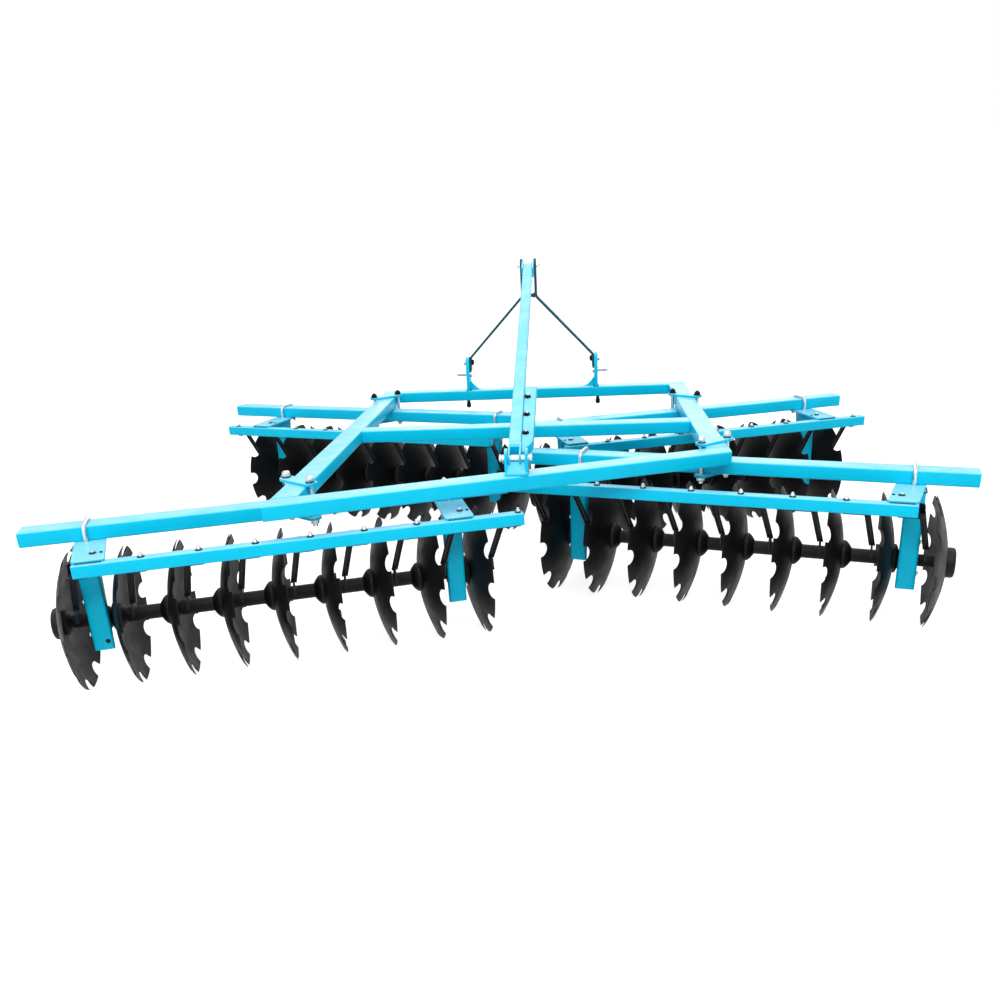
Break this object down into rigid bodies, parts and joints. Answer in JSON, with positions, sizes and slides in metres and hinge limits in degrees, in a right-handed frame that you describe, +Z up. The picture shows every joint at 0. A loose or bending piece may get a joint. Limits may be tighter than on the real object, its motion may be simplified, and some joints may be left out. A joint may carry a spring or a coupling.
{
  "type": "disc harrow",
  "caption": "Mounted X-type disc harrow: tube frame, four angled gangs of notched dished discs that turn freely, scrapers, and a three-point hitch with a bent A-frame mast and stay.",
  "frame": {"origin": "bottom centre of the box around the whole harrow, on the ground under the discs", "axes": "+X to the harrow's right seen from behind, +Y forward to the tractor, +Z up"},
  "size_m": [3.7926, 2.928, 1.486],
  "materials": {
    "paint": "glossy bright cyan-blue enamel",
    "dark_paint": "darker teal enamel on the hitch braces",
    "black_paint": "satin blue-black paint",
    "disc_steel": "dark blue-black paint over hardened steel, satin",
    "cast": "dark painted castings",
    "zinc": "zinc-plated bolts and pins"
  },
  "bodies": {
    "frame": {"gang_beam_rear_left": "paint", "scraper_beam_rear_left": "paint", "hangers_rear_left": "paint", "scraper_blades_rear_left": "black_paint", "gang_beam_rear_right": "paint", "scraper_beam_rear_right": "paint", "hangers_rear_right": "paint", "scraper_blades_rear_right": "black_paint", "gang_beam_front_left": "paint", "scraper_beam_front_left": "paint", "hangers_front_left": "paint", "scraper_blades_front_left": "black_paint", "gang_beam_front_right": "paint", "scraper_beam_front_right": "paint", "hangers_front_right": "paint", "scraper_blades_front_right": "black_paint", "frame_front_tube": "paint", "frame_middle_tube": "paint", "frame_rear_tube": "paint", "frame_left_side_tube": "paint", "frame_right_side_tube": "paint", "bearing_housings": "cast", "hanger_u_bolts": "zinc", "gang_clamp_plates": "paint", "gang_clamp_bolts": "zinc", "hitch_plates": "paint", "hitch_braces": "dark_paint", "hitch_bolts": "zinc", "lower_link_pins": "zinc", "top_link_pin": "zinc", "stay_tube": "paint", "stay_lower_bar": "paint", "stay_bolts": "zinc", "stay_bracket": "paint", "stay_foot_pin": "zinc"},
    "gang_rear_left": {"disc_blades_rear_left": "disc_steel", "gang_axle_rear_left": "cast"},
    "gang_rear_right": {"disc_blades_rear_right": "disc_steel", "gang_axle_rear_right": "cast"},
    "gang_front_left": {"disc_blades_front_left": "disc_steel", "gang_axle_front_left": "cast"},
    "gang_front_right": {"disc_blades_front_right": "disc_steel", "gang_axle_front_right": "cast"}
  },
  "joints": [
    {"name": "rear_left_gang_turn", "type": "hinge", "parent": "frame", "child": "gang_rear_left", "pos_m": [-0.97057, -0.95404, 0.28], "axis": [-0.9532, -0.3024, 0], "continuous": true},
    {"name": "rear_right_gang_turn", "type": "hinge", "parent": "frame", "child": "gang_rear_right", "pos_m": [0.97057, -0.47004, 0.28], "axis": [0.9532, -0.3024, 0], "continuous": true},
    {"name": "front_left_gang_turn", "type": "hinge", "parent": "frame", "child": "gang_front_left", "pos_m": [-0.86923, 0.94653, 0.28], "axis": [-0.9532, 0.3024, 0], "continuous": true},
    {"name": "front_right_gang_turn", "type": "hinge", "parent": "frame", "child": "gang_front_right", "pos_m": [0.86923, 0.68653, 0.28], "axis": [0.9532, 0.3024, 0], "continuous": true}
  ]
}
